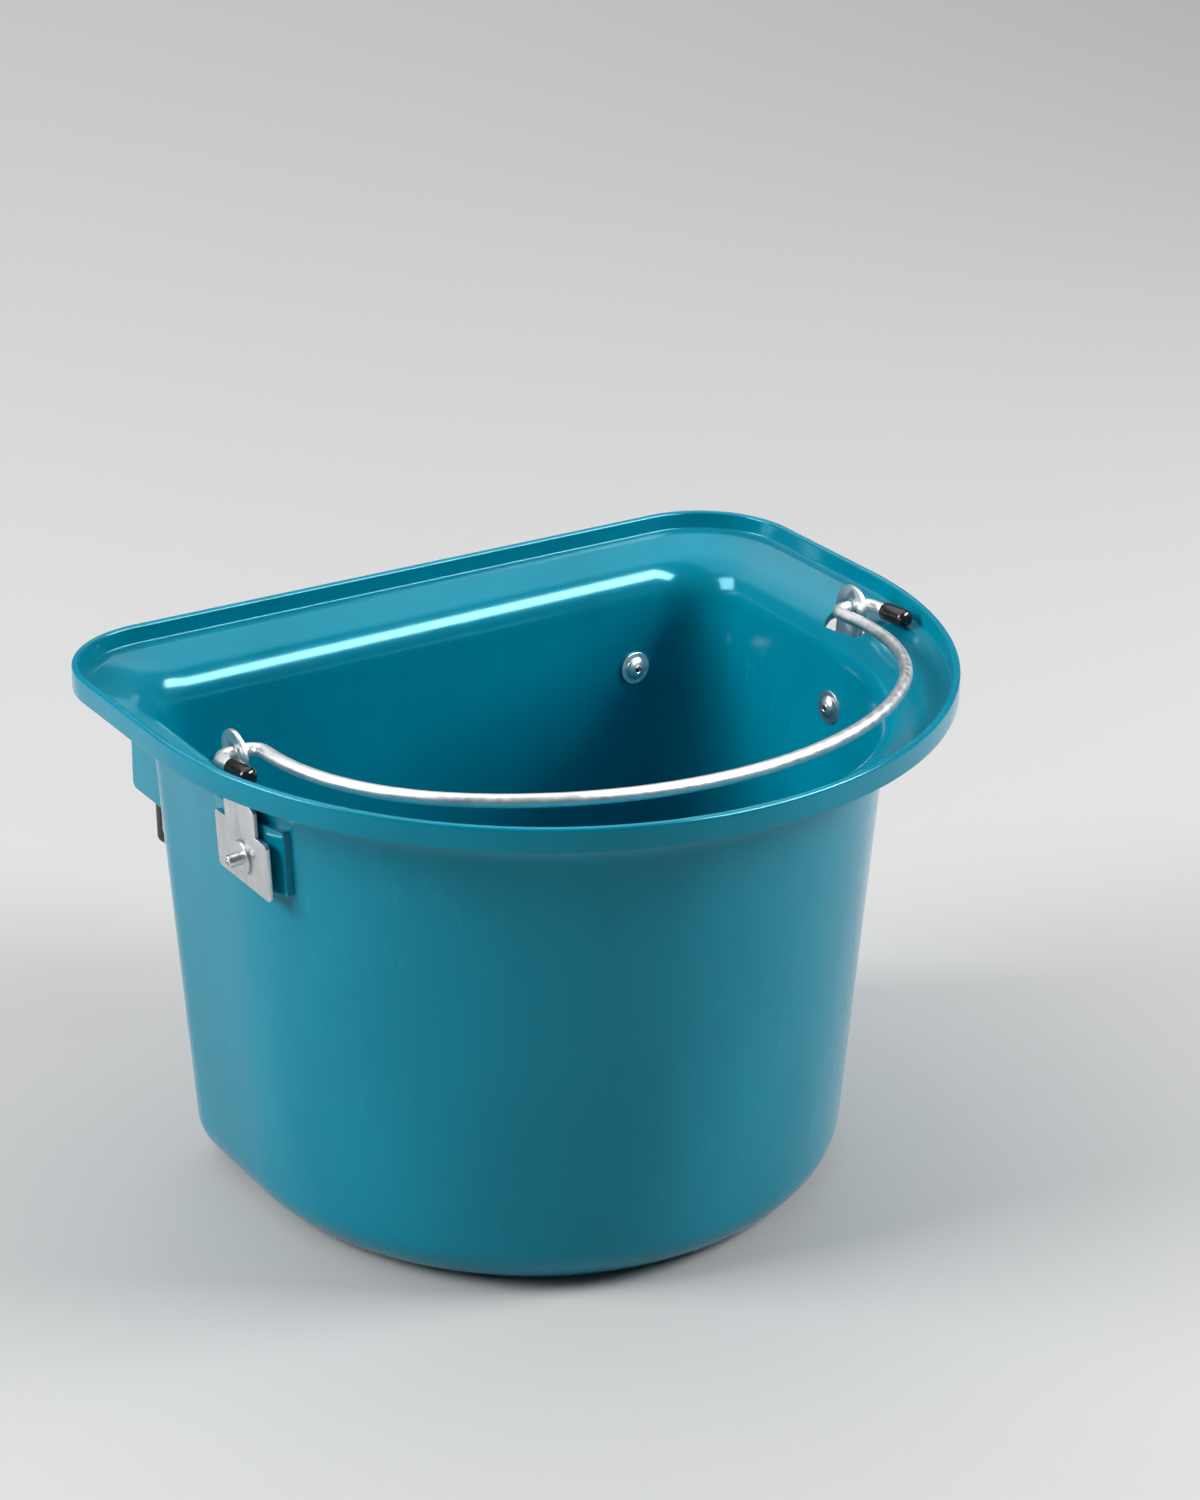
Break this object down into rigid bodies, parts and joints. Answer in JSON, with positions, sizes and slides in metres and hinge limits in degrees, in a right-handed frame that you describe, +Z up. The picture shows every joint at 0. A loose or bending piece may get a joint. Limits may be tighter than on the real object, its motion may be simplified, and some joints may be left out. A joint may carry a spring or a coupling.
{
  "type": "feed bucket",
  "caption": "Flat-backed plastic stable feed bucket with a wide ledged rim, a folding steel bail on riveted ear plates and two sleeved hanging hooks at the back.",
  "frame": {"origin": "centre of the base on the surface it stands on, midway between the front and the back of the rim", "axes": "+Z up, the round front faces -Y, the flat back and its hooks face +Y, +X to the right seen from the front"},
  "size_m": [0.38, 0.3433, 0.2536],
  "materials": {
    "moulded_plastic": "fine moulded texture with a soft gloss",
    "zinc_rod": "satin zinc plated round rod",
    "zinc_sheet": "zinc coated sheet with a fine spangle",
    "washer_steel": "zinc plated, satin",
    "rivet_alloy": "satin",
    "rivet_pin_steel": "broken steel pin, dull",
    "black_cap": "glossy dipped vinyl",
    "black_sleeve": "satin rubber-like vinyl"
  },
  "bodies": {
    "bucket": {"bucket_shell": "moulded_plastic", "left_ear_plate": "zinc_sheet", "right_ear_plate": "zinc_sheet", "left_ear_inner_washer": "washer_steel", "right_ear_inner_washer": "washer_steel", "left_ear_outer_washer": "washer_steel", "right_ear_outer_washer": "washer_steel", "left_ear_rivet": "rivet_alloy", "right_ear_rivet": "rivet_alloy", "left_ear_rivet_mandrel": "rivet_pin_steel", "right_ear_rivet_mandrel": "rivet_pin_steel", "left_hook": "zinc_sheet", "right_hook": "zinc_sheet", "left_hook_sleeve": "black_sleeve", "right_hook_sleeve": "black_sleeve", "left_hook_inner_washer": "washer_steel", "right_hook_inner_washer": "washer_steel", "left_hook_outer_washer": "washer_steel", "right_hook_outer_washer": "washer_steel", "left_hook_rivet": "rivet_alloy", "right_hook_rivet": "rivet_alloy", "left_hook_rivet_mandrel": "rivet_pin_steel", "right_hook_rivet_mandrel": "rivet_pin_steel"},
    "handle": {"bail_handle": "zinc_rod", "left_end_cap": "black_cap", "right_end_cap": "black_cap"}
  },
  "joints": [
    {"name": "bail_swing", "type": "hinge", "parent": "bucket", "child": "handle", "pos_m": [0, 0.016, 0.2418], "axis": [-1, 0, 0], "range_deg": [0, 172.2]}
  ]
}
